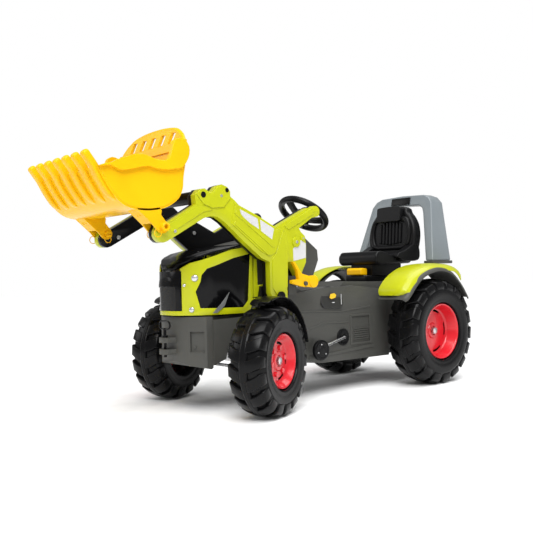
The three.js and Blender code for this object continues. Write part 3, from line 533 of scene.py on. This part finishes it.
# ---- rear axle, chain and crank ------------------------------------------------------------------
# A chain inside the chassis joins the crank to the rear axle. Outside, a bent steel crank carries a thin
# round black pedal on each side, with three bright rivets, and turns in a black bearing with ribs.
moulded("rear_axle", steel, 0.0008)
for node in ("chainwheel", "rear_sprocket", "drive_chain"):
    moulded(node, steel, 0.0006)


def spot(node):
    """The y and z of the middle of a CAD node's box, in mm."""
    low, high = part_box(node)
    return (low[1] + high[1]) * 500 - AXLE_Y * 1000, (low[2] + high[2]) * 500


def tube(points, radius, closed=False):
    """A round bar of that radius through points in mm in the machine's frame, as a bmesh."""
    curve = bpy.data.curves.new("bar", "CURVE")
    curve.dimensions = "3D"
    curve.bevel_depth = radius / 1000
    curve.bevel_resolution = 4
    curve.use_fill_caps = not closed
    line = curve.splines.new("POLY")
    line.points.add(len(points) - 1)
    for point, (x, y, z) in zip(line.points, points):
        point.co = (x / 1000, AXLE_Y + y / 1000, z / 1000, 1)
    line.use_cyclic_u = closed
    holder = bpy.data.objects.new("bar", curve)
    bpy.context.scene.collection.objects.link(holder)
    data = bpy.data.meshes.new_from_object(holder)
    mesh = bmesh.new()
    mesh.from_mesh(data)
    bmesh.ops.remove_doubles(mesh, verts=mesh.verts, dist=1e-6)
    bmesh.ops.recalc_face_normals(mesh, faces=mesh.faces)
    bpy.data.objects.remove(holder)
    bpy.data.curves.remove(curve)
    bpy.data.meshes.remove(data)
    return mesh


def disc(radius, x0, x1, y, z, segments=32, top=None):
    """A round boss across the machine, from x0 to x1 in mm, about y and z in mm."""
    mesh = bmesh.new()
    turn = at(y, z, (x0 + x1) / 2) @ Matrix.Rotation(pi / 2, 4, "Y")
    bmesh.ops.create_cone(mesh, cap_ends=True, segments=segments, radius1=radius / 1000,
                          radius2=(radius if top is None else top) / 1000, depth=(x1 - x0) / 1000,
                          matrix=turn)
    return mesh


(crank_y, crank_z), (pedal_y, pedal_z) = spot("crank_bearing_left"), spot("pedal_left")
bends = [(123, 0), (126, 0.04), (126, 0.96), (129, 1), (136, 1)]
bends = [(-x, -out) for x, out in reversed(bends)] + bends
rod = tube([(x, crank_y + (pedal_y - crank_y) * out, crank_z + (pedal_z - crank_z) * out)
            for x, out in bends], 4.6)
finished("crankset_rod", rod, steel, BODY_OF["crankset"], stands_for=("crankset",), crease=60)
for side, sign in SIDES:
    y, z = spot(f"pedal_{side}")
    tread = lathe([(134.4, 0.0), (134.4, 27), (137, 31.2), (141, 31.8), (147, 31.2), (149.4, 27.5),
                   (149.6, 24), (148, 22), (148, 13.5), (149.8, 11.5), (150.4, 4), (150.4, 0.0)], at(y, z),
                  40, False)
    finished(f"pedal_{side}_tread", mirrored(tread, sign), satin_black, f"pedal_{side}", 0.0005, 1,
             (f"pedal_{side}",))
    rivets = []
    for turn in (100, 200, 320):
        aside, higher = 18 * cos(radians(turn)), 18 * sin(radians(turn))
        rivets.append(disc(2.6, 147.5, 149.8, y + aside, z + higher, 14, 2.0))
    finished(f"pedal_{side}_rivets", mirrored(join(*rivets), sign), steel, f"pedal_{side}",
             0.0003, 1)
    y, z = spot(f"crank_bearing_{side}")
    bearing = lathe([(113, 8), (113, 27.5), (117.4, 26.4), (119.4, 23), (118.0, 20), (118.0, 13),
                     (120.4, 12), (120.4, 8)], at(y, z), 40)
    teeth = []
    for k in range(16):
        tooth = block((117, 119.8), (y + 19, y + 26), (z - 1.6, z + 1.6))
        bmesh.ops.rotate(tooth, verts=tooth.verts, cent=at(y, z).translation,
                         matrix=Matrix.Rotation(k * pi / 8, 3, "X"))
        teeth.append(tooth)
    join(bearing, *teeth)
    finished(f"crank_bearing_{side}_cap", mirrored(bearing, sign), satin_black, "chassis", 0.0004, 1,
             (f"crank_bearing_{side}",))

# ---- rear mudguards and roll bar -----------------------------------------------------------------
# Lime plastic mudguards lie on dark-grey liners that reach down round the rear tyres. The roll bar is a
# silver-grey plastic arch. It stands on dark-grey feet and carries a blank black plate.
bar_silver = plastic("roll bar silver", (0.185, 0.21, 0.225), 0.32, coat=0.1)
plate_black = plastic("plate black", (0.004, 0.004, 0.004), 0.3, shine=0.2)


def smooth(points, cuts=3):
    """The points with more between them, on the curve that runs through them all."""
    ends = [points[0], *points, points[-1]]
    curve = []
    for a, b, c, d in zip(ends, ends[1:], ends[2:], ends[3:]):
        for step in range(cuts):
            t = step / cuts
            curve.append([0.5 * (2 * q + (r - p) * t + (2 * p - 5 * q + 4 * r - s) * t ** 2
                                 + (3 * q - p - 3 * r + s) * t ** 3) for p, q, r, s in zip(a, b, c, d)])
    return curve + [list(points[-1])]


GUARD = smooth([(546, 300), (552, 322), (576, 348), (614, 372), (664, 391), (720, 400), (800, 399),
                (845, 392), (874, 380)], 4)
LINER = smooth([(546, 289), (558, 302), (582, 326), (612, 352), (646, 371), (690, 384), (740, 389),
                (790, 380), (828, 360), (868, 325), (900, 285)], 4)
for side, sign in SIDES:
    dome = arched(GUARD, [(150, 1), (170, -1), (200, -2), (225, 0), (243, 5), (255, 13), (262, 24)],
                  3, 0.42, 0.8)
    finished(f"rear_fender_{side}_dome", mirrored(dome, sign), lime, "chassis", 0.001, 2,
             (f"rear_fender_{side}",), 50)
    liner = arched(LINER, [(150, 0), (200, 0), (240, 0), (258, 2), (264, 8), (266, 14)], 3.4, 0.2)
    finished(f"fender_liner_{side}_sheet", mirrored(liner, sign), chassis_grey, "chassis", 0.001, 2,
             (f"fender_liner_{side}",), 50)
    moulded(f"roll_bar_foot_{side}", chassis_grey, 0.002)
moulded("roll_bar", bar_silver, 0.007, 4)
moulded("roll_bar_plate", plate_black, 0.0008)

# ---- seat ----------------------------------------------------------------------------------------
# The black plastic seat slides on a rail under its cushion. Two bolsters flank the cushion, a raised
# border runs round the ribs of the back, a headrest stands above them, and a yellow catch hangs under
# the front edge.
seat_black = plastic("seat black", (0.005, 0.005, 0.0055), 0.36, grain=0.16, shine=0.17)
yellow = plastic("yellow", (0.86, 0.475, 0.004), 0.24, shine=0.12)
moulded("seat_rail", satin_black, 0.002)
catch = plate([(602, 368), (634, 366), (634, 390), (608, 392), (601, 386)], -34, 34)
stem = block((-16, 16), (628, 636), (370, 388))
finished("seat_release_catch", join(catch, stem), yellow, BODY_OF["seat_release"], 0.0035, 3,
         ("seat_release",))
cushion = plate([(628, 402), (640, 401), (800, 405), (812, 408), (818, 448), (760, 442), (700, 438),
                 (652, 449), (630, 448), (618, 432), (618, 414)], -88, 88)
finished("seat_cushion", cushion, seat_black, "seat", 0.011, 4, ("seat_pan",))
slider = block((-49, 49), (643, 800), (364.8, 410))
finished("seat_slider", slider, satin_black, "seat", 0.001, 2)
bolsters = []
for side, sign in SIDES:
    shape = plate(smooth([(712, 428), (722, 440), (760, 452), (800, 470), (826, 474), (840, 452), (836, 420),
                          (800, 412), (740, 414)], 3), 72, 104)
    bolsters.append(mirrored(shape, sign))
finished("seat_bolsters", join(*bolsters), seat_black, "seat", 0.009, 4)
pan_ribs = [block((x - 6, x + 6), (650, 790), (434, 442)) for x in (-54, -36, -18, 0, 18, 36, 54)]
finished("seat_pan_ribs", join(*pan_ribs), seat_black, "seat", 0.002, 3)


def leaning(mesh):
    """Tips a mesh built upright at the backrest's foot back to the slope of its front face."""
    foot = Vector((0, AXLE_Y + 0.8123, 0.454))
    bmesh.ops.rotate(mesh, verts=mesh.verts, cent=foot, matrix=Matrix.Rotation(radians(-5.4), 3, "X"))
    return mesh


def facing(outline, y0, y1, holes=()):
    """A flat plate seen from the front: its outline and holes in (x, z) mm, from y0 to y1 in mm."""
    mesh = plate(outline, y0, y1, holes)
    for v in mesh.verts:
        v.co = Vector((v.co.y - AXLE_Y, AXLE_Y + v.co.x, v.co.z))
    bmesh.ops.recalc_face_normals(mesh, faces=mesh.faces)
    return mesh


def evened(half):
    """A closed outline from its right half, mirrored and smoothed, in (x, z) mm."""
    return smooth(half + [(-x, z) for x, z in reversed(half)], 3)


BACK = [(60, 414), (88, 424), (98, 450), (105, 485), (106, 515), (99, 548), (84, 574), (70, 590), (62, 606),
        (42, 613), (10, 614)]
shell = leaning(facing(evened(BACK), 802, 846))
finished("seat_back_shell", shell, seat_black, "seat", 0.012, 4, ("seat_back",))
HOLLOW = [(44, 462), (62, 470), (70, 500), (71, 530), (64, 556), (48, 566), (8, 568)]
border = leaning(tube([(x * 1.16, 801, z) for x, z in evened(HOLLOW)], 9, True))
finished("seat_back_border", border, seat_black, "seat", crease=60)
ribs = []
for k in range(7):
    x = (k - 3) * 15
    ribs.append(leaning(block((x - 5, x + 5), (796, 804), (472 + abs(k - 3) * 2, 560 - abs(k - 3) * 3))))
finished("seat_back_ribs", join(*ribs), seat_black, "seat", 0.003, 3)
PILLOW = [(44, 556), (53, 562), (54, 600), (46, 609), (8, 611)]
headrest = leaning(facing(evened(PILLOW), 783, 820))
finished("seat_headrest", headrest, seat_black, "seat", 0.009, 4)

# ---- rear hitch ----------------------------------------------------------------------------------
# A black plastic jaw is bolted to the chassis' rear face. The eye of a trailer's drawbar goes in its
# slot and is held by an upright pin.
moulded("rear_hitch", satin_black, 0.002)

# ---- loader arms ---------------------------------------------------------------------------------
# Each arm is a lime outer half and a black inner half, screwed together. Raised panels, creases and
# bosses are moulded into the outer half, blank stickers are on its rear section, and a black tube joins
# the arms at their knees. Yellow pins in black plates on the chassis carry the columns' feet.
FACE, LIFT_PIN, KNOB = 160, (112, 316), (262, 562)  # the arm's outer face, then two middles as (y, z)
for side, sign in SIDES:
    finished(f"loader_console_{side}_plate", solid_of(f"loader_console_{side}"), satin_black,
             BODY_OF[f"loader_console_{side}"], 0.0015, 2, (f"loader_console_{side}",))
    head = join(disc(11, 150, 163.5, *LIFT_PIN, 32, 9.5), disc(6, 163, 166, *LIFT_PIN, 6, 5.5))
    spring_clip = plate([(124, 322), (140, 318), (156, 322), (154, 333), (138, 330), (126, 332)], 122, 146)
    finished(f"loader_clip_{side}", mirrored(spring_clip, sign), yellow, BODY_OF[f"loader_console_{side}"],
             0.002)
    finished(f"loader_pin_head_{side}", mirrored(head, sign), yellow, BODY_OF[f"loader_console_{side}"],
             0.0008)
    moulded(f"arm_shell_{side}", lime, 0.0035, 3)
    moulded(f"arm_liner_{side}", satin_black, 0.0025, 2)
    knee_plate = plate([(-172, 590), (-160, 603), (-146, 605), (-131, 597), (-120, 597), (-106, 612),
                        (-88, 618), (-72, 612), (-62, 602), (-62, 584), (-84, 560), (-122, 556), (-150, 566)],
                       FACE - 1, FACE + 3.2)
    front_panel = plate([(-264, 506), (-250, 489), (-150, 545), (-122, 550), (-140, 560), (-172, 560),
                         (-215, 535)], FACE - 1, FACE + 2.2)
    rear_panel = plate([(-46, 575), (-30, 562), (32, 537), (100, 505), (118, 508), (100, 440), (76, 430),
                        (46, 440), (-17, 486), (-58, 516)], FACE - 1, FACE + 2.4)
    rear_rail = plate([(-50, 545), (88, 452), (96, 458), (-44, 553)], FACE, FACE + 4.2)
    rear_edge = plate([(-52, 517), (70, 430), (76, 437), (-46, 525)], FACE, FACE + 4.2)
    column = plate([(84, 420), (100, 440), (128, 505), (140, 480), (140, 412), (135, 340), (124, 318),
                    (100, 318), (84, 338)], FACE - 1, FACE + 2.4)
    column_crease = plate([(130, 503), (136, 505), (146, 470), (140, 340), (134, 340), (139, 468)], FACE,
                          FACE + 2.7)
    handle = plate([(132, 516), (150, 505), (248, 552), (256, 562), (240, 570), (225, 562)], FACE - 1,
                   FACE + 2.2)
    detail = join(knee_plate, front_panel, rear_panel, rear_rail, rear_edge, column, column_crease, handle)
    finished(f"arm_panels_{side}", mirrored(detail, sign), lime, "loader_arms", 0.0014, 2)
    ball = bmesh.new()
    bmesh.ops.create_uvsphere(ball, u_segments=28, v_segments=16, radius=0.0172, matrix=at(*KNOB, 143.5))
    finished(f"arm_knob_{side}", mirrored(ball, sign), lime, "loader_arms", crease=60)
    inner_ball = lathe([(99, 0.0), (99.5, 7), (103, 13), (109, 16.5), (116, 17), (122, 14), (128, 12.5),
                        (134, 12.5)], at(*KNOB), 32, False)
    finished(f"arm_knob_inner_{side}", mirrored(inner_ball, sign), satin_black, "loader_arms",
             crease=60)
    bosses = join(disc(16, FACE, FACE + 4.5, 178, 470, 32, 14.5), disc(9, FACE, FACE + 3, 206, 481, 24, 8))
    finished(f"arm_bosses_{side}", mirrored(bosses, sign), lime, "loader_arms", 0.0008)
    bolts = []
    for y, z, radius, out in ((-240, 493, 4.6, 3.6), (-92, 590, 4.6, 4.6), (178, 470, 5.5, 6.4),
                              (206, 481, 3.2, 4)):
        bolts.append(disc(radius, FACE + 1, FACE + out, y, z, 20, radius * 0.8))
    finished(f"arm_bolts_{side}", mirrored(join(*bolts), sign), steel, "loader_arms", 0.0005)
    eyes = join(disc(8.5, FACE + 2, FACE + 3.9, -151, 590, 28, 8),
                disc(6.5, FACE + 2, FACE + 3.9, -73, 606, 24, 6))
    finished(f"arm_eyes_{side}", mirrored(eyes, sign), satin_black, "loader_arms", 0.0004)
    stickers = join(plate([(-30, 557), (32, 533), (37, 504), (-10, 527), (-27, 545)], FACE + 2, FACE + 2.9),
                    plate([(41, 531), (92, 507), (84, 476), (44, 499)], FACE + 2, FACE + 2.9),
                    plate([(166, 450), (198, 476), (218, 466), (217, 424), (167, 415)],
                          FACE - 0.4, FACE + 0.6))
    finished(f"arm_stickers_{side}", mirrored(stickers, sign), sticker_white, "loader_arms",
             0.0003, 1)
    inner = [disc(6, 122.8, 126.5, y, z, 20) for y, z in ((-240, 493), (-92, 590), (20, 510), (120, 440))]
    finished(f"arm_liner_screws_{side}", mirrored(join(*inner), sign), steel, "loader_arms",
             0.0006, 1)
moulded("arm_cross_tube", satin_black, 0.0015)

# ---- bucket --------------------------------------------------------------------------------------
# The bucket is glossy yellow plastic: a curved shell between two cheeks whose upper rims stand out in a
# wavy band, a slotted guard along its back, and seven long round fingers on its floor. Two forked
# brackets under it hang on the arms' tips by hollow pins, each kept by a wire ring.
SHELL = [(-452, 642), (-436, 614), (-419, 589), (-403, 570), (-382, 555), (-357, 548), (-321, 546),
         (-285, 551), (-258, 561), (-234, 579), (-222, 602), (-219, 630), (-212, 668), (-207, 706),
         (-206, 728)]


def ribbon(points, x0, x1, thick):
    """A sheet of that thickness along a line of (y, z) points, across from x0 to x1; all in mm."""
    mesh = bmesh.new()
    line = [mesh.verts.new((x0 / 1000, AXLE_Y + y / 1000, z / 1000)) for y, z in points]
    edges = [mesh.edges.new(pair) for pair in zip(line, line[1:])]
    made = bmesh.ops.extrude_edge_only(mesh, edges=edges)["geom"]
    bmesh.ops.translate(mesh, verts=[v for v in made if isinstance(v, bmesh.types.BMVert)],
                        vec=((x1 - x0) / 1000, 0, 0))
    bmesh.ops.solidify(mesh, geom=mesh.faces[:], thickness=thick / 1000)
    bmesh.ops.recalc_face_normals(mesh, faces=mesh.faces)
    return mesh


def finger(points, x, width, height, fade):
    """A round-ended bar standing out of a line of (y, z) points by height, sinking in at its end; in mm."""
    mesh = sliced_bar(22)
    last = len(points) - 1
    for v in mesh.verts:
        t = (v.co.x + 0.5) * last
        k = min(int(t), last - 1)
        here, there = Vector(points[k]), Vector(points[k + 1])
        out = Vector((here.y - there.y, there.x - here.x)).normalized() * -1
        y, z = here.lerp(there, t - k)
        near = min(1.0, t / last / 0.07 + 0.25)
        round_end = (1 - (1 - near) ** 2) ** 0.5
        sunk = max(0.0, (t / last - fade) / (1 - fade))
        lift = (height * round_end * (1 - sunk ** 2) + 0.4) if v.co.z > 0 else -5 * round_end
        v.co = Vector(((x + v.co.y * width * round_end) / 1000, AXLE_Y + (y + out.x * lift) / 1000,
                       (z + out.y * lift) / 1000))
    return softened(mesh, 0.0042 if width > 10 else 0.001)


curve = smooth(SHELL)
sheet = ribbon(curve, -167, 167, 4.5)
RIM_TOP = [(-456, 640), (-440, 646), (-422, 650), (-408, 658), (-381, 667), (-362, 674), (-340, 677),
           (-320, 673), (-303, 668), (-272, 667), (-259, 680), (-253, 700), (-246, 719), (-230, 727),
           (-213, 723), (-202, 708), (-202, 688), (-211, 668), (-226, 652)]
RIM_LOW = [(-246, 648), (-267, 644), (-299, 644), (-317, 648), (-335, 647), (-366, 639), (-395, 633),
           (-410, 637), (-425, 643), (-442, 640)]
CHEEK, PIN = 163, (-278, 502)  # the cheek's inner face, then the pin's middle as (y, z)
cheeks, bands = [], []
for side, sign in SIDES:
    low_edge = curve[:-4]
    top_edge = smooth([(-212, 722), (-232, 727), (-248, 718), (-252, 700), (-258, 680), (-272, 664),
                       (-303, 665), (-320, 670), (-340, 674), (-362, 671), (-381, 664), (-408, 655),
                       (-440, 643)])
    cheeks.append(mirrored(plate(low_edge + top_edge, CHEEK, CHEEK + 5.5), sign))
    bands.append(mirrored(plate(smooth(RIM_TOP + RIM_LOW, 2), CHEEK + 1, CHEEK + 15.5), sign))
finished("bucket_cheeks", join(*cheeks), yellow, "bucket", 0.0014, 2)
finished("bucket_rims", join(*bands), yellow, "bucket", 0.0045, 3, crease=40)
ARCH = [(-158, 716), (-150, 729), (-137, 743), (-120, 755), (-98, 765), (-52, 772), (0, 774), (52, 772),
        (98, 765), (120, 755), (137, 743), (150, 729), (158, 716)]
slots = [[(x - 14, 727), (x + 7, 725), (x + 15, 755), (x - 6, 757)] for x in (-96, -48, 0, 48, 96)]
guard = facing([(-166, 704)] + smooth(ARCH) + [(166, 704)], -210.5, -200.5, slots)
lip = tube([(x, -205, z) for x, z in smooth(ARCH)], 6)
for mesh in (guard, lip):
    for v in mesh.verts:
        v.co.y += max(0.0, v.co.z - 0.712) * 0.3
finished("bucket_guard", guard, yellow, "bucket", 0.0015, 2)
finished("bucket_guard_lip", lip, yellow, "bucket", crease=60)
FINGER_LINE = smooth([(-479, 678), (-466, 661), (-452, 642), (-436, 614), (-419, 589), (-406, 573),
                      (-394, 562)], 6)
fingers = [finger(FINGER_LINE, x, 22, 11, 0.6) for x in range(-150, 151, 50)]
creases = [finger(FINGER_LINE[12:], x + aside, 4, 3.2, 0.55)
           for x in range(-125, 126, 50) for aside in (-6, 6)]
finished("bucket_shell", join(sheet, *fingers, *creases), yellow, "bucket", stands_for=("bucket",),
         crease=50)
for side, sign in SIDES:
    fork_line = [(-354, 546), (-286, 551), (-283, 532), (-266, 512), (-263, 500), (-268, 490), (-279, 486),
                 (-291, 489), (-306, 505), (-332, 528)]
    inner, outer = plate(smooth(fork_line, 2), 118, 123.5), plate(smooth(fork_line, 2), 162, 167)
    front_web = ribbon([(-346, 545), (-328, 529), (-310, 512)], 122, 163, 3)
    roof = block((121, 164), (-350, -290), (541, 549))
    webs = [plate([(-352, 548), (-300, 548), (-304, 541), (-333, 527)], x, x + 3) for x in (135, 148)]
    finished(f"bucket_bracket_{side}_fork", mirrored(join(inner, outer, front_web, roof, *webs), sign),
             yellow, "bucket", 0.0012, 2, (f"bucket_bracket_{side}",))
    pin = lathe([(112, 0.0), (112, 7.5), (165, 7.5), (166, 11.5), (181, 10.5), (182, 9), (181, 6), (172, 5.5),
                 (171, 0.0)], at(*PIN), 28, False)
    eye = tube([(115 + 6 * cos(a * pi / 8), -275 + 6 * sin(a * pi / 8), 496) for a in range(16)], 2.4, True)
    loop = tube([(111 + 2 * cos(a * pi / 12), -281 + 10 * sin(a * pi / 12), 487 + 10 * cos(a * pi / 12))
                 for a in range(24)], 1.0, True)
    clip = tube([(170, -296 + 10 * sin(a * pi / 12), 487 + 10 * cos(a * pi / 12))
                 for a in range(24)], 1.0, True)
    finished(f"bucket_pin_{side}_tube", mirrored(join(pin, eye, loop, clip), sign), yellow,
             BODY_OF[f"bucket_pin_{side}"], stands_for=(f"bucket_pin_{side}",), crease=45)

# ---- lock lever ----------------------------------------------------------------------------------
# A yellow plastic lever turns on a stub beside the dash, next to the left arm's column. It is the catch
# that keeps the loader up.
moulded("lock_lever", yellow, 0.003, 3)

# ---- floor, light and camera ---------------------------------------------------------------------
# A pale floor, a bright even surround, a soft sun and three large lamps, seen from the front left.
# They are the stage only and are no part of the machine.
floor_white = plastic("floor", (1.0, 1.0, 1.0), 0.8, shine=0.1)
ground = bmesh.new()
bmesh.ops.create_grid(ground, x_segments=1, y_segments=1, size=14)
floor_data = bpy.data.meshes.new("floor")
ground.to_mesh(floor_data)
ground.free()
floor_data.materials.append(floor_white)
floor = bpy.data.objects.new("floor", floor_data)
bpy.context.scene.collection.objects.link(floor)
for name, place, aim, size, power in (
    ("key lamp", (2.6, -2.2, 3.0), (0, 0, 0.3), 2.0, 70),
    ("fill lamp", (-2.6, -2.6, 2.2), (0, -0.1, 0.4), 2.4, 25),
    ("top lamp", (0.2, 1.6, 3.4), (0, 0.1, 0.3), 2.4, 45),
):
    data = bpy.data.lights.new(name, "AREA")
    data.shape, data.size, data.energy = "DISK", size, power
    lamp = bpy.data.objects.new(name, data)
    lamp.location = place
    lamp.rotation_euler = (Vector(aim) - Vector(place)).to_track_quat("-Z", "Y").to_euler()
    bpy.context.scene.collection.objects.link(lamp)
daylight = bpy.data.lights.new("daylight", "SUN")
daylight.energy, daylight.angle = 2.75, radians(50)
sun = bpy.data.objects.new("daylight", daylight)
sun.rotation_euler = Vector((-0.5, 0.35, -1)).to_track_quat("-Z", "Y").to_euler()
bpy.context.scene.collection.objects.link(sun)
world = bpy.data.worlds.new("studio")
world.use_nodes = True
sky, wires = world.node_tree.nodes, world.node_tree.links
backdrop = sky.new("ShaderNodeBackground")
backdrop.inputs["Strength"].default_value = 1.0
backdrop.inputs["Color"].default_value = (1, 1, 1, 1)
sky["Background"].inputs["Color"].default_value = (1, 1, 1, 1)
sky["Background"].inputs["Strength"].default_value = 0.36
seen, choice = sky.new("ShaderNodeLightPath"), sky.new("ShaderNodeMixShader")
wires.new(seen.outputs["Is Camera Ray"], choice.inputs[0])
wires.new(sky["Background"].outputs[0], choice.inputs[1])
wires.new(backdrop.outputs[0], choice.inputs[2])
wires.new(choice.outputs[0], sky["World Output"].inputs["Surface"])
bpy.context.scene.world = world
bpy.context.scene.view_settings.view_transform = "Standard"

TURN, RISE, ROLL = radians(49.02), radians(-0.577), radians(-1.416)
DISTANCE, ASIDE, HIGHER = 2.3277, -0.1496, 0.0037
back = Vector((sin(TURN) * cos(RISE), -cos(TURN) * cos(RISE), sin(RISE)))
right = (-back).cross(Vector((0, 0, 1))).normalized()
up = right.cross(-back)
eye = Vector((0, 0.4 + AXLE_Y, 0.4)) + back * DISTANCE + right * ASIDE + up * HIGHER
level = right * cos(ROLL) + up * sin(ROLL)
top = up * cos(ROLL) - right * sin(ROLL)
camera_data = bpy.data.cameras.new("camera")
camera_data.sensor_width = 36
camera_data.lens = 47.93
camera = bpy.data.objects.new("camera", camera_data)
camera.matrix_world = Matrix((level, top, back)).transposed().to_4x4()
camera.location = eye
bpy.context.scene.collection.objects.link(camera)
bpy.context.scene.camera = camera
